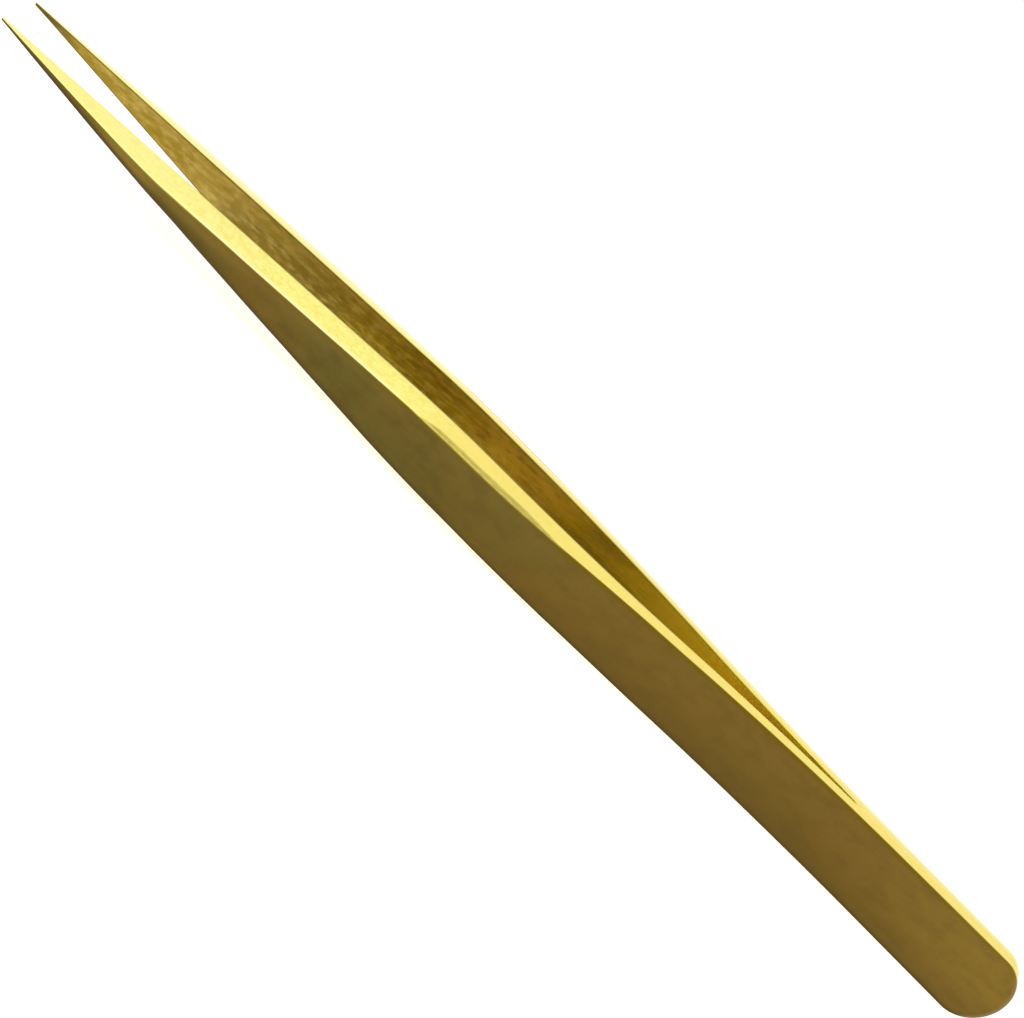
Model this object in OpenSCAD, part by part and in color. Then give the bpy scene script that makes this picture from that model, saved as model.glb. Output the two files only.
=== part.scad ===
// Straight, needle-pointed tweezers: two springy brass arms, brazed together at the tail.
// The tweezers lie on their long edges. +X points to the tail and -X to the tips, and the near
// arm is on the -Y side. The origin is on the floor, under the middle of the object.
// Every function takes u, the distance from the tail, and gives a size in millimetres.

/* [Overall] */
// Length from the tail to the tips
overall_len = 140; // [120:1:160]

/* [Outline of each arm] */
// Width at the tail
tail_w = 9.2; // [8:0.1:11]
// Width at the shoulder, where the taper to the tip begins
shoulder_w = 7.9; // [7:0.1:10]
// Width of the tip
tip_w = 0.3; // [0.2:0.05:0.8]
// Length of the taper, from the shoulder to the tip
taper_len = 57.5; // [45:0.5:65]
// Length over which the shoulder is rounded
shoulder_blend = 9; // [4:0.5:20]
// Length of the rounded end at the tail
tail_round = 4; // [2:0.1:5]

/* [Thickness of each arm] */
// Thickness at the tail
tail_t = 1; // [0.8:0.05:1.5]
// Thickness at the end of the spring section, just behind the step
neck_t = 1.6; // [1:0.05:2]
// Thickness of the gripping body, just in front of the step
body_t = 2.9; // [2.2:0.1:3.6]
// Thickness of the gripping body where the ground point begins
belly_t = 3.1; // [2.2:0.1:3.8]
// Thickness of the tip
tip_t = 0.25; // [0.2:0.05:0.6]
// Distance from the tail to the foot of the step on the outer face
step_from_tail = 53; // [46:1:60]
// Length over which the step rises
step_len = 25; // [12:1:30]
// Length of the ground needle point
point_len = 22; // [12:1:30]
// How full the back of the point is: 1 is a straight wedge, and more is rounder
point_fullness = 1.25; // [1:0.05:2]

/* [Bends of each arm] */
// Length over which the two tails lie together
joined_len = 18; // [12:0.5:22]
// Length of the heel bend, which parts the arms
heel_bend_len = 30; // [16:1:36]
// Angle by which the heel bend parts each arm from the middle, in degrees
heel_angle = 5.9; // [4:0.1:6.5]
// Distance from the tail to the middle of the elbow bend, which brings the arms back
elbow_from_tail = 61; // [54:0.5:70]
// Length of the elbow bend
elbow_bend_len = 24; // [10:1:32]
// Angle by which each arm still opens in front of the elbow, in degrees
front_angle = 0.4; // [0:0.1:1.5]

/* [Ground flanks] */
// Angle by which the flanks lean in towards the outer face, in degrees
flank_angle = 14; // [8:0.5:20]
// Distance from the tail to where the flanks begin to lean
flank_from_tail = 25; // [20:1:40]
// Radius of the edges of the inner face
inner_edge_r = 0.12; // [0.05:0.01:0.25]
// Radius of the edges of the outer face
outer_edge_r = 0.3; // [0.1:0.02:0.5]

/* [Braze] */
// Thickness of the film of braze between the tails
braze_t = 0.12; // [0.06:0.01:0.3]
// How far the film stays inside the outline of the tails
braze_inset = 0.1; // [0.05:0.01:0.4]

/* [Hidden] */

shoulder_u = overall_len - taper_len;
step_end_u = step_from_tail + step_len;
point_u = overall_len - point_len;
// Each arm is one piece that bends over its thin stretch, so it is cut where that bend is centred,
// and again at the middle of the elbow, where the jaw begins.
flexure_u = (joined_len + step_from_tail) / 2;
jaw_u = elbow_from_tail;

strip_slope = (tail_w - shoulder_w) / shoulder_u;
taper_slope = (shoulder_w - tip_w) / taper_len;
heel_slope = tan(heel_angle);
front_slope = tan(front_angle);

// Share of the arm's width that the rounded end starts from, so that it closes with a face
end_start_share = 0.05;
// Smallest share of the arm's width that the leaning flanks may leave to the outer face
outer_least_share = 0.25;
// Sections on the rounded tail end, and the greatest distance between those further on
end_sections = 9;
section_step = 2;
// Steps round each edge of a section
edge_steps = 3;

function clamp01(s) = min(max(s, 0), 1);

// Rises from 0 at a to 1 at b, with a soft start and end.
function ease(u, a, b) = let (s = clamp01((u - a) / (b - a))) s * s * (3 - 2 * s);

// A bend of constant curvature: level before it, and with a slope of 1 behind it.
function bend(u, start, len) =
    u <= start ? 0 : u >= start + len ? u - start - len / 2 : pow(u - start, 2) / (2 * len);

// Width of the blank: a long strip that narrows a little, then the taper to the tip.
function blank_w(u) = tail_w - strip_slope * u
    - (taper_slope - strip_slope) * bend(u, shoulder_u - shoulder_blend / 2, shoulder_blend);
// Share of the full width at u on an end that is rounded over round_len.
function end_share(u, round_len) = u >= round_len ? 1 : sqrt(1 - pow(1 - u / round_len, 2));
function arm_w(u) = blank_w(u) * max(end_share(u, tail_round), end_start_share);

// Height of the middle of the arm. It keeps the lower edge of the strip flat on the floor.
function middle_z(u) = (tail_w - strip_slope * u) / 2;

// Distance of the inner face from the plane between the arms.
function inner_y(u) = braze_t / 2 + heel_slope * bend(u, joined_len, heel_bend_len)
    - (heel_slope - front_slope) * bend(u, elbow_from_tail - elbow_bend_len / 2, elbow_bend_len);

// Thickness: the spring leaf, the step up to the gripping body, and the ground point.
function leaf_t(u) = tail_t + (neck_t - tail_t) * clamp01(u / step_from_tail);
function grip_t(u) = body_t + (belly_t - body_t) * clamp01((u - step_end_u) / (point_u - step_end_u));
function stepped_t(u) = leaf_t(u) + (grip_t(u) - leaf_t(u)) * ease(u, step_from_tail, step_end_u);
function arm_t(u) = tip_t
    + (stepped_t(u) - tip_t) * (1 - pow(clamp01((u - point_u) / point_len), point_fullness));

// Half width of the outer face, which the leaning flanks make narrower than the inner face.
function flank_lean(u) = arm_t(u) * tan(flank_angle * ease(u, flank_from_tail, shoulder_u));
function outer_half_w(u) = max(arm_w(u) / 2 - flank_lean(u), outer_least_share * arm_w(u) / 2);

// Points round an edge, from a point r before the corner to a point r behind it.
function toward(p, q, r) = p + (q - p) * min(r / norm(q - p), 0.4);
function edge_points(before, corner, after, r) = [
    let (a = toward(corner, before, r), b = toward(corner, after, r))
    for (i = [0:edge_steps])
        let (s = i / edge_steps)
        a * (1 - s) * (1 - s) + corner * 2 * s * (1 - s) + b * s * s
];

// Section of an arm at u: the inner face, two leaning flanks and the outer face, as [y, z].
function corners(u) = let (
    i = inner_y(u),
    o = inner_y(u) + arm_t(u),
    z = middle_z(u),
    wi = arm_w(u) / 2,
    wo = outer_half_w(u)
) [[i, z - wi], [o, z - wo], [o, z + wo], [i, z + wi]];
function section(u) = let (c = corners(u)) [
    for (k = [0:3])
        each edge_points(c[(k + 3) % 4], c[k], c[(k + 1) % 4],
                         k == 1 || k == 2 ? outer_edge_r : inner_edge_r)
];

// Row position of the section at u.
function row_x(u) = overall_len / 2 - u;

// Joins the sections at each u of a list into one solid, on the +Y side.
module loft(stations) {
    n = 4 * (edge_steps + 1);
    rings = len(stations);
    points = [for (u = stations) for (p = section(u)) [row_x(u), p.x, p.y]];
    sides = [for (r = [0:rings - 2]) for (k = [0:n - 1])
        let (a = r * n + k, b = r * n + (k + 1) % n)
        each [[a, b, b + n], [a, b + n, a + n]]];
    tail_cap = [for (k = [n - 1:-1:0]) k];
    tip_cap = [for (k = [0:n - 1]) (rings - 1) * n + k];
    polyhedron(points, concat([tail_cap], sides, [tip_cap]), convexity = 4);
}

// Even sections from a to b, no further apart than section_step.
function stations(a, b) = let (n = ceil((b - a) / section_step)) [for (i = [0:n]) a + (b - a) * i / n];
tail_stations = concat(
    [for (i = [0:end_sections - 1]) tail_round * (1 - cos(90 * i / end_sections))],
    stations(tail_round, flexure_u)
);

// The rear of an arm, brazed to the other one, up to the middle of the spring section.
module tail() {
    loft(tail_stations);
}

// The front half of the spring section, up to the elbow.
module spring() {
    loft(stations(flexure_u, jaw_u));
}

// The front of an arm: the step, the gripping body and the ground point.
module jaw() {
    loft(stations(jaw_u, overall_len));
}

// The near arm is the far arm's mirror image.
module to_near_side() {
    mirror([0, 1, 0]) children();
}

module near_tail() {
    color([0.54, 0.43, 0.19]) to_near_side() tail();
}

module near_spring() {
    color([0.58, 0.46, 0.21]) to_near_side() spring();
}

module near_jaw() {
    color([0.62, 0.5, 0.24]) to_near_side() jaw();
}

module far_tail() {
    color([0.66, 0.52, 0.2]) tail();
}

module far_spring() {
    color([0.7, 0.56, 0.24]) spring();
}

module far_jaw() {
    color([0.75, 0.61, 0.28]) jaw();
}

// The film lies just inside the outline of the tails, and ends where they begin to part.
film_round = tail_round - braze_inset;
function film_half_w(u) = (blank_w(u) / 2 - braze_inset) * end_share(u - braze_inset, film_round);
film_stations = concat(
    [for (i = [0:end_sections - 1]) braze_inset + film_round * (1 - cos(90 * i / end_sections))],
    [tail_round, joined_len]
);
module film_outline() {
    last = len(film_stations) - 1;
    lower = [for (u = film_stations) [row_x(u), middle_z(u) - film_half_w(u)]];
    upper = [for (i = [last:-1:1]) let (u = film_stations[i]) [row_x(u), middle_z(u) + film_half_w(u)]];
    polygon(concat(lower, upper));
}

module braze_film() {
    color([0.45, 0.34, 0.1]) translate([0, braze_t / 2, 0]) rotate([90, 0, 0])
        linear_extrude(braze_t) film_outline();
}

near_tail();
near_spring();
near_jaw();
far_tail();
far_spring();
far_jaw();
braze_film();
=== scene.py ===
# %% [markdown]
# # Brass tweezers
# The real tweezers are two springy brass arms that are brazed together at the tail. Each arm is one
# blank: thin and springy behind, thicker where the fingers press, and ground to a needle point.
# The frame gives the bodies, their joints and their places. This lesson makes the looks: each arm as
# one smooth mesh with true rounded edges, and the finishes that the press and the grinder leave.

# %% Load the frame
import math
from collections import namedtuple

import bmesh
import bpy
import numpy as np
from mathutils import Matrix, Vector


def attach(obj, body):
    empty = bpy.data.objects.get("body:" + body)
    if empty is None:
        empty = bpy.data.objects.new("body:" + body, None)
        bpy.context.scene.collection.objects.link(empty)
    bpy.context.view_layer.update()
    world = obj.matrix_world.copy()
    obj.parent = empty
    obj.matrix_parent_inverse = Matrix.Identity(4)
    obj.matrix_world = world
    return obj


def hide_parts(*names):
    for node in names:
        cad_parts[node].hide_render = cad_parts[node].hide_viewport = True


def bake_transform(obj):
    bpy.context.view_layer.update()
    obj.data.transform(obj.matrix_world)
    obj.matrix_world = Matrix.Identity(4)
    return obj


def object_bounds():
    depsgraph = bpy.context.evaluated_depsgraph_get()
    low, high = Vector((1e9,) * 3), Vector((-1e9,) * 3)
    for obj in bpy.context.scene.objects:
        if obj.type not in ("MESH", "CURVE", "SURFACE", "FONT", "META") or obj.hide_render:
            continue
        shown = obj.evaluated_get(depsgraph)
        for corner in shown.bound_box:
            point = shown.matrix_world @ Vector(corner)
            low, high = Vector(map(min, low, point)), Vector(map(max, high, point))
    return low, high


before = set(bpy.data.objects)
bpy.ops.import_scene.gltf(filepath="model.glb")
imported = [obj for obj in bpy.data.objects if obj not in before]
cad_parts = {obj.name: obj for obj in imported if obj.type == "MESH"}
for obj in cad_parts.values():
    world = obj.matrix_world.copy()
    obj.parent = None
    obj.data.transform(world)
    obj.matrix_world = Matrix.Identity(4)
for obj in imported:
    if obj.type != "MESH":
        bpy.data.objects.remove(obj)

MM = 0.001
CAD_LOW, CAD_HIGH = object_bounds()
print("CAD box, mm:", [round(side / MM, 2) for side in CAD_HIGH - CAD_LOW])

# %% [markdown]
# ## Camera
# The photograph looks at the near arm from the front and a little from above, and the camera is
# turned about its own axis, so that the tips are at the top left and the tail at the bottom right.
# A camera can be aimed with a constraint, but plain trigonometry shows what each angle does.

# %% Camera
CAMERA_AZIMUTH = math.radians(-6.143)
CAMERA_ELEVATION = math.radians(27.248)
CAMERA_ROLL = math.radians(48.581)
CAMERA_DISTANCE = 234.125 * MM
CAMERA_AIM = Vector((-1.706, 0, 4.066)) * MM
CAMERA_LENS = 82.603
CAMERA_CLIP_START = 10 * MM


def direction(azimuth, elevation):
    """From the object towards something at these angles: azimuth 0 is the near side, -Y."""
    level = math.cos(elevation)
    return Vector((math.sin(azimuth) * level, -math.cos(azimuth) * level, math.sin(elevation)))


def make_camera():
    back = direction(CAMERA_AZIMUTH, CAMERA_ELEVATION)
    level_right = Vector((math.cos(CAMERA_AZIMUTH), math.sin(CAMERA_AZIMUTH), 0))
    level_up = back.cross(level_right)
    right = level_right * math.cos(CAMERA_ROLL) + level_up * math.sin(CAMERA_ROLL)
    turn = Matrix((right, back.cross(right), back)).transposed().to_4x4()
    data = bpy.data.cameras.new("camera")
    data.lens = CAMERA_LENS
    data.clip_start = CAMERA_CLIP_START
    camera = bpy.data.objects.new("camera", data)
    camera.matrix_world = Matrix.Translation(CAMERA_AIM + back * CAMERA_DISTANCE) @ turn
    bpy.context.scene.collection.objects.link(camera)
    bpy.context.scene.camera = camera
    return camera


bpy.context.scene.view_settings.view_transform = "Standard"
camera = make_camera()
print("camera at, mm:", [round(side / MM, 1) for side in camera.matrix_world.translation])

# %% [markdown]
# ## Shader maths as plain expressions
# A finish is worked out by many small nodes. Wiring them one by one hides the idea, so a wire wraps
# one socket and takes Python's operators: each operator adds one Math node. Most of a finish is
# written with three more methods. A rise goes softly from one value to another between two places,
# within marks a stretch with two soft ends, and between picks a value from a straight line.


# %% Wire
class Wire:
    """One output socket of a shader node, for use in expressions."""

    def __init__(self, nodes, socket):
        self.nodes = nodes
        self.socket = socket

    def output(self, name):
        return Wire(self.nodes, self.socket.node.outputs[name])

    def maths(self, operation, first, second):
        return self.nodes.add("ShaderNodeMath", {"operation": operation}, {0: first, 1: second})

    def __add__(self, other):
        return self.maths("ADD", self, other)

    def __radd__(self, other):
        return self.maths("ADD", other, self)

    def __sub__(self, other):
        return self.maths("SUBTRACT", self, other)

    def __rsub__(self, other):
        return self.maths("SUBTRACT", other, self)

    def __mul__(self, other):
        return self.maths("MULTIPLY", self, other)

    def __rmul__(self, other):
        return self.maths("MULTIPLY", other, self)

    def at_least(self, other):
        return self.maths("MAXIMUM", self, other)

    def rise(self, low, high, before=0, after=1):
        """before up to low and after from high on, with a soft start and end between the two."""
        inputs = {"Value": self, "From Min": low, "From Max": high, "To Min": before, "To Max": after}
        return self.nodes.add("ShaderNodeMapRange", {"interpolation_type": "SMOOTHSTEP"}, inputs)

    def within(self, start, full, fading, end, strength=1):
        """0 outside the stretch from start to end, and strength from full to fading."""
        return self.rise(start, full, 0, strength) * self.rise(fading, end, 1, 0)

    def between(self, low, high):
        """low where this wire is 0 and high where it is 1, in a straight line."""
        return low + self * (high - low)


print("besides operators, a wire has:", ", ".join(name for name in vars(Wire) if name[0] != "_"))

# %% [markdown]
# ## Nodes and patterns
# Every other node comes from one method, which sets the node's own settings first and then its
# sockets. Noise gets its own short form, because each finish needs several: a pattern says how many
# spots of noise there are for each millimetre in three directions. A flat pattern has no third
# direction, and its third number only picks a layer, so that no two patterns lie over each other.

# %% Nodes
Pattern = namedtuple("Pattern", "x y z detail roughness swirl", defaults=(0.5, 0))


class Nodes:
    """Adds nodes to one tree, and gives each new node's output as a wire."""

    # A Mix node has sockets for every kind of data, and these are the places of its colour ones.
    MIX_FACTOR, MIX_FIRST_COLOUR, MIX_SECOND_COLOUR, MIX_COLOUR_RESULT = 0, 6, 7, 2

    def __init__(self, tree):
        self.tree = tree
        tree.nodes.clear()

    def add(self, kind, settings, inputs, output=0):
        node = self.tree.nodes.new(kind)
        for name, value in settings.items():
            setattr(node, name, value)
        for name, value in inputs.items():
            if isinstance(value, Wire):
                self.tree.links.new(value.socket, node.inputs[name])
            else:
                node.inputs[name].default_value = value
        return Wire(self, node.outputs[output]) if node.outputs else None

    def attribute(self, name, output):
        return self.add("ShaderNodeAttribute", {"attribute_name": name}, {}, output)

    def split(self, vector):
        x = self.add("ShaderNodeSeparateXYZ", {}, {"Vector": vector}, "X")
        return x, x.output("Y"), x.output("Z")

    def pattern(self, kind, x, y, z=1):
        spots = {"X": x * kind.x, "Y": y * kind.y, "Z": z * kind.z}
        point = self.add("ShaderNodeCombineXYZ", {}, spots)
        inputs = {"Vector": point, "Scale": 1, "Detail": kind.detail}
        inputs.update({"Roughness": kind.roughness, "Distortion": kind.swirl})
        return self.add("ShaderNodeTexNoise", {}, inputs)

    def mix(self, first, second, factor):
        inputs = {
            self.MIX_FACTOR: factor,
            self.MIX_FIRST_COLOUR: first,
            self.MIX_SECOND_COLOUR: second,
        }
        return self.add("ShaderNodeMix", {"data_type": "RGBA"}, inputs, self.MIX_COLOUR_RESULT)

    def bump(self, height, distance):
        return self.add("ShaderNodeBump", {}, {"Height": height, "Distance": distance}, "Normal")

    def surface(self, inputs):
        shader = self.add("ShaderNodeBsdfPrincipled", {}, inputs)
        self.add("ShaderNodeOutputMaterial", {}, {"Surface": shader})


def new_material(name):
    material = bpy.data.materials.new(name)
    material.use_nodes = True
    return material, Nodes(material.node_tree)


def seen(red, green, blue):
    """A colour as it is seen, from 0 to 255, as the linear colour that a shader takes."""
    shares = [part / 255 for part in (red, green, blue)]
    linear = [s / 12.92 if s <= 0.04045 else ((s + 0.055) / 1.055) ** 2.4 for s in shares]
    return (*linear, 1.0)


print("mid grey, as a shader takes it:", round(seen(128, 128, 128)[0], 3))

# %% [markdown]
# ## Background and floor
# The photograph has a pure white background. White comes from the floor and the world themselves:
# what the camera sees directly, or mirrored in the metal, is lifted to white there. No more light
# falls on the brass for it, and the floor keeps a soft shadow where the tweezers rest.

# %% Background and floor
WHITE = (1, 1, 1, 1)
BLACK = (0, 0, 0, 1)
OBJECT_LENGTH = (CAD_HIGH - CAD_LOW).x
FLOOR_SPAN = 40 * OBJECT_LENGTH
FLOOR_DROP = 0.05 * MM
FLOOR_PAPER = (0.82, 0.82, 0.82, 1)
FLOOR_LIFT = (0.7, 0.7, 0.7, 1)
AMBIENT_LIGHT = (0.45, 0.45, 0.45, 1)


def rays_that_see_the_background(nodes):
    path = nodes.add("ShaderNodeLightPath", {}, {}, "Is Camera Ray")
    return path.at_least(path.output("Is Glossy Ray")).at_least(path.output("Is Transmission Ray"))


def make_world():
    world = bpy.data.worlds.new("studio")
    world.use_nodes = True
    nodes = Nodes(world.node_tree)
    colour = nodes.mix(AMBIENT_LIGHT, WHITE, rays_that_see_the_background(nodes))
    light = nodes.add("ShaderNodeBackground", {}, {"Color": colour, "Strength": 1})
    nodes.add("ShaderNodeOutputWorld", {}, {"Surface": light})
    bpy.context.scene.world = world


def make_floor():
    reach = FLOOR_SPAN / 2
    square = ((-reach, -reach), (reach, -reach), (reach, reach), (-reach, reach))
    mesh = bpy.data.meshes.new("floor")
    mesh.from_pydata([(x, y, -FLOOR_DROP) for x, y in square], [], [(0, 1, 2, 3)])
    floor = bpy.data.objects.new("floor", mesh)
    bpy.context.scene.collection.objects.link(floor)
    material, nodes = new_material("floor_paper")
    glow = nodes.mix(BLACK, FLOOR_LIFT, rays_that_see_the_background(nodes))
    inputs = {"Base Color": FLOOR_PAPER, "Roughness": 1, "Specular IOR Level": 0}
    inputs.update({"Emission Color": glow, "Emission Strength": 1})
    nodes.surface(inputs)
    floor.data.materials.append(material)


make_world()
make_floor()
print("floor span, m:", round(FLOOR_SPAN, 2))

# %% [markdown]
# ## Softbox
# Metal shows what it mirrors, so the light on it is mostly the white world, and one wide softbox
# gives it a direction. It stands overhead and to the front left, where no flank mirrors it. Its
# energy is worked out from a level: what the lamp adds to a white surface that faces it.

# %% Softbox
SOFTBOX_AZIMUTH = math.radians(-40)
SOFTBOX_ELEVATION = math.radians(62)
SOFTBOX_DISTANCE = 5 * OBJECT_LENGTH
SOFTBOX_SPAN = 3 * OBJECT_LENGTH
SOFTBOX_LEVEL = 0.22


def make_softbox():
    data = bpy.data.lights.new("overhead_softbox", "AREA")
    data.shape = "SQUARE"
    data.size = SOFTBOX_SPAN
    data.energy = SOFTBOX_LEVEL * (math.pi * SOFTBOX_DISTANCE) ** 2
    away = direction(SOFTBOX_AZIMUTH, SOFTBOX_ELEVATION)
    lamp = bpy.data.objects.new("overhead_softbox", data)
    lamp.location = away * SOFTBOX_DISTANCE
    lamp.rotation_euler = away.to_track_quat("Z", "Y").to_euler()
    bpy.context.scene.collection.objects.link(lamp)
    return data


print("softbox, W:", round(make_softbox().energy, 2), "at, m:", round(SOFTBOX_DISTANCE, 2))

# %% [markdown]
# ## Sizes of an arm
# Every size is in millimetres, and u is the distance from the tail. The sizes are those of the
# packed solids, so that the smooth arm lies exactly where the solids lie.

# %% Sizes
OVERALL_LEN = OBJECT_LENGTH / MM
TAIL_W, SHOULDER_W, TIP_W = 9.2, 7.9, 0.3
TAPER_LEN, SHOULDER_BLEND, TAIL_ROUND = 57.5, 9, 4
TAIL_T, NECK_T, BODY_T, BELLY_T, TIP_T = 1, 1.6, 2.9, 3.1, 0.25
STEP_FROM_TAIL, STEP_LEN = 53, 25
POINT_LEN, POINT_FULLNESS = 22, 1.25
JOINED_LEN, HEEL_BEND_LEN, HEEL_ANGLE = 18, 30, math.radians(5.9)
ELBOW_FROM_TAIL, ELBOW_BEND_LEN, FRONT_ANGLE = 61, 24, math.radians(0.4)
FLANK_ANGLE, FLANK_FROM_TAIL, OUTER_LEAST_SHARE = math.radians(14), 25, 0.25
BRAZE_T = 0.12

SHOULDER_U = OVERALL_LEN - TAPER_LEN
STEP_END_U = STEP_FROM_TAIL + STEP_LEN
POINT_U = OVERALL_LEN - POINT_LEN
STRIP_SLOPE = (TAIL_W - SHOULDER_W) / SHOULDER_U
TAPER_SLOPE = (SHOULDER_W - TIP_W) / TAPER_LEN
print("the width narrows by, mm for each mm:", round(STRIP_SLOPE, 4), "then", round(TAPER_SLOPE, 4))

# %% [markdown]
# ## Form of an arm along its length
# A real arm is blanked from strip, coined thinner behind, bent twice, and ground. Each of those steps
# is one short function of u: the width of the blank, its thickness, and how far its inner face
# stands from the plane between the arms. A bend is a stretch of constant curvature.


# %% Form along the arm
def ramp(u, start, end):
    return np.clip((u - start) / (end - start), 0, 1)


def ease(u, start, end):
    s = ramp(u, start, end)
    return s * s * (3 - 2 * s)


def bend(u, start, length):
    """Level before start, and with a slope of 1 behind the bend."""
    return np.clip(u - start, 0, length) ** 2 / (2 * length) + np.maximum(u - start - length, 0)


def blank_half_width(u):
    taper = (TAPER_SLOPE - STRIP_SLOPE) * bend(u, SHOULDER_U - SHOULDER_BLEND / 2, SHOULDER_BLEND)
    return (TAIL_W - STRIP_SLOPE * u - taper) / 2


def middle_height(u):
    return (TAIL_W - STRIP_SLOPE * u) / 2


def inner_face(u):
    heel = math.tan(HEEL_ANGLE) * bend(u, JOINED_LEN, HEEL_BEND_LEN)
    elbow = bend(u, ELBOW_FROM_TAIL - ELBOW_BEND_LEN / 2, ELBOW_BEND_LEN)
    return BRAZE_T / 2 + heel - (math.tan(HEEL_ANGLE) - math.tan(FRONT_ANGLE)) * elbow


def thickness(u):
    leaf = TAIL_T + (NECK_T - TAIL_T) * ramp(u, 0, STEP_FROM_TAIL)
    grip = BODY_T + (BELLY_T - BODY_T) * ramp(u, STEP_END_U, POINT_U)
    stepped = leaf + (grip - leaf) * ease(u, STEP_FROM_TAIL, STEP_END_U)
    point = 1 - ramp(u, POINT_U, OVERALL_LEN) ** POINT_FULLNESS
    return TIP_T + (stepped - TIP_T) * point


for u in (0, JOINED_LEN, ELBOW_FROM_TAIL, SHOULDER_U, POINT_U, OVERALL_LEN):
    width, gap = 2 * blank_half_width(u), 2 * inner_face(u)
    print(f"u {u:5.1f}: width {width:.2f}, thickness {thickness(u):.2f}, gap {gap:.2f}")

# %% [markdown]
# ## Ribs of a plate
# Sections straight across the strip would leave the rounded tail with a ragged rim. So the plate is
# built on ribs that run from a spine out to the rim: straight across along the strip, and fanned
# round a centre at each rounded end. Every rib then meets the rim squarely, and so the rim's rounded
# edge keeps its true radius all the way round.

# %% Ribs
RIB_STEP = 0.5
FAN_RIBS = 18
TIP_ROUND = TIP_W / 2


def half_outline(length, tail_round, tip_round, half_width):
    """Spine u, rim u and rim half width of the ribs on one side, from the tail to the tip."""
    angle = np.linspace(0, math.pi / 2, FAN_RIBS + 1)
    tip_centre = length - tip_round
    strip_ribs = int(math.ceil((tip_centre - tail_round) / RIB_STEP))
    strip = np.linspace(tail_round, tip_centre, strip_ribs + 1)[1:-1]
    tail_rim = tail_round * (1 - np.cos(angle))
    tip_rim = length - tip_round * (1 - np.cos(angle[::-1]))
    spine = np.concatenate([np.full_like(angle, tail_round), strip, np.full_like(angle, tip_centre)])
    rim = np.concatenate([tail_rim, strip, tip_rim])
    share = np.concatenate([np.sin(angle), np.ones_like(strip), np.sin(angle[::-1])])
    return spine, rim, half_width(rim) * share


def whole_outline(length, tail_round, tip_round, half_width):
    """The ribs all the way round: up one side to the tip, and back down the other."""
    spine, rim, width = half_outline(length, tail_round, tip_round, half_width)
    back = slice(-2, 0, -1)
    rims = np.concatenate([rim, rim[back]]), np.concatenate([width, -width[back]])
    return np.concatenate([spine, spine[back]]), *rims


spine_u, rim_u, rim_width = whole_outline(OVERALL_LEN, TAIL_ROUND, TIP_ROUND, blank_half_width)
print("ribs round an arm:", len(spine_u))

# %% [markdown]
# ## Edges along the arm
# Tumbling and polishing leave every edge a little round. The inner edges are the sharpest, because
# they meet the work. The outer edges are softer, most of all over the step, where the buff reaches
# them, and along the ground point. The flank's border wanders a little, as a hand-held grind leaves
# it: three waves of different lengths, which never seem to repeat, are enough for that.

# %% Edges
INNER_EDGE_R, JOINED_EDGE_R = 0.12, 0.05
CRISP_EDGE_R, STEP_EDGE_R, POINT_EDGE_R = 0.24, 0.4, 0.6
STEP_SOFT, POINT_SOFT = (60, 92), (108, 138)
WAVES = ((7.3, 1, 1), (3.1, 0.6, 2.1), (1.27, 0.35, 3.7))


def swell(u, start, end):
    """0 outside a stretch, and 1 in the middle of it."""
    middle = (start + end) / 2
    return ease(u, start, middle) * (1 - ease(u, middle, end))


def outer_edge_radius(u):
    step = (STEP_EDGE_R - CRISP_EDGE_R) * swell(u, *STEP_SOFT)
    point = (POINT_EDGE_R - CRISP_EDGE_R) * swell(u, *POINT_SOFT)
    return CRISP_EDGE_R + step + point


def inner_edge_radius(u):
    parted = ease(u, JOINED_LEN, JOINED_LEN + HEEL_BEND_LEN)
    return JOINED_EDGE_R + (INNER_EDGE_R - JOINED_EDGE_R) * parted


def wander(u, phase):
    """A slow and uneven wave between -1 and 1, from waves of a length, a height and a shift."""
    total = sum(height * np.sin(u / length + shift * phase) for length, height, shift in WAVES)
    return total / sum(height for _, height, _ in WAVES)


radii = [round(float(outer_edge_radius(sum(soft) / 2)), 2) for soft in (STEP_SOFT, POINT_SOFT)]
print("outer edge radius over the step and on the point, mm:", radii)

# %% [markdown]
# ## Section on a rib
# A rib's section runs over the outer face to its soft edge, down the ground flank, round the inner
# edge and back over the inner face. Rounded corners could come from a bevel modifier, but its width
# would have to be weighted edge by edge. Here each corner is a curve between three points, so its
# radius can follow the arm. The shorter side caps it, so that no corner runs into its neighbour.

# %% Section
FACE_SHARES = (0, 0.3, 0.6, 0.85)
EDGE_MARGIN, EDGE_MARGIN_SHARE = 0.1, 0.1
CORNER_STEPS = 6
SHORT_SIDE_SHARE = 0.4


def corner(before, at, after):
    """Points on a rounded corner, from the point before it to the point behind it."""
    for s in np.linspace(0, 1, CORNER_STEPS + 1):
        yield before * (1 - s) ** 2 + at * 2 * s * (1 - s) + after * s**2


def face_run(length, radius):
    """Places across a face, from the spine to just before the edge's radius begins."""
    flat = length - radius
    margin = np.minimum(EDGE_MARGIN, flat * EDGE_MARGIN_SHARE)
    return [share * (flat - margin) for share in FACE_SHARES] + [flat - margin]


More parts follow.
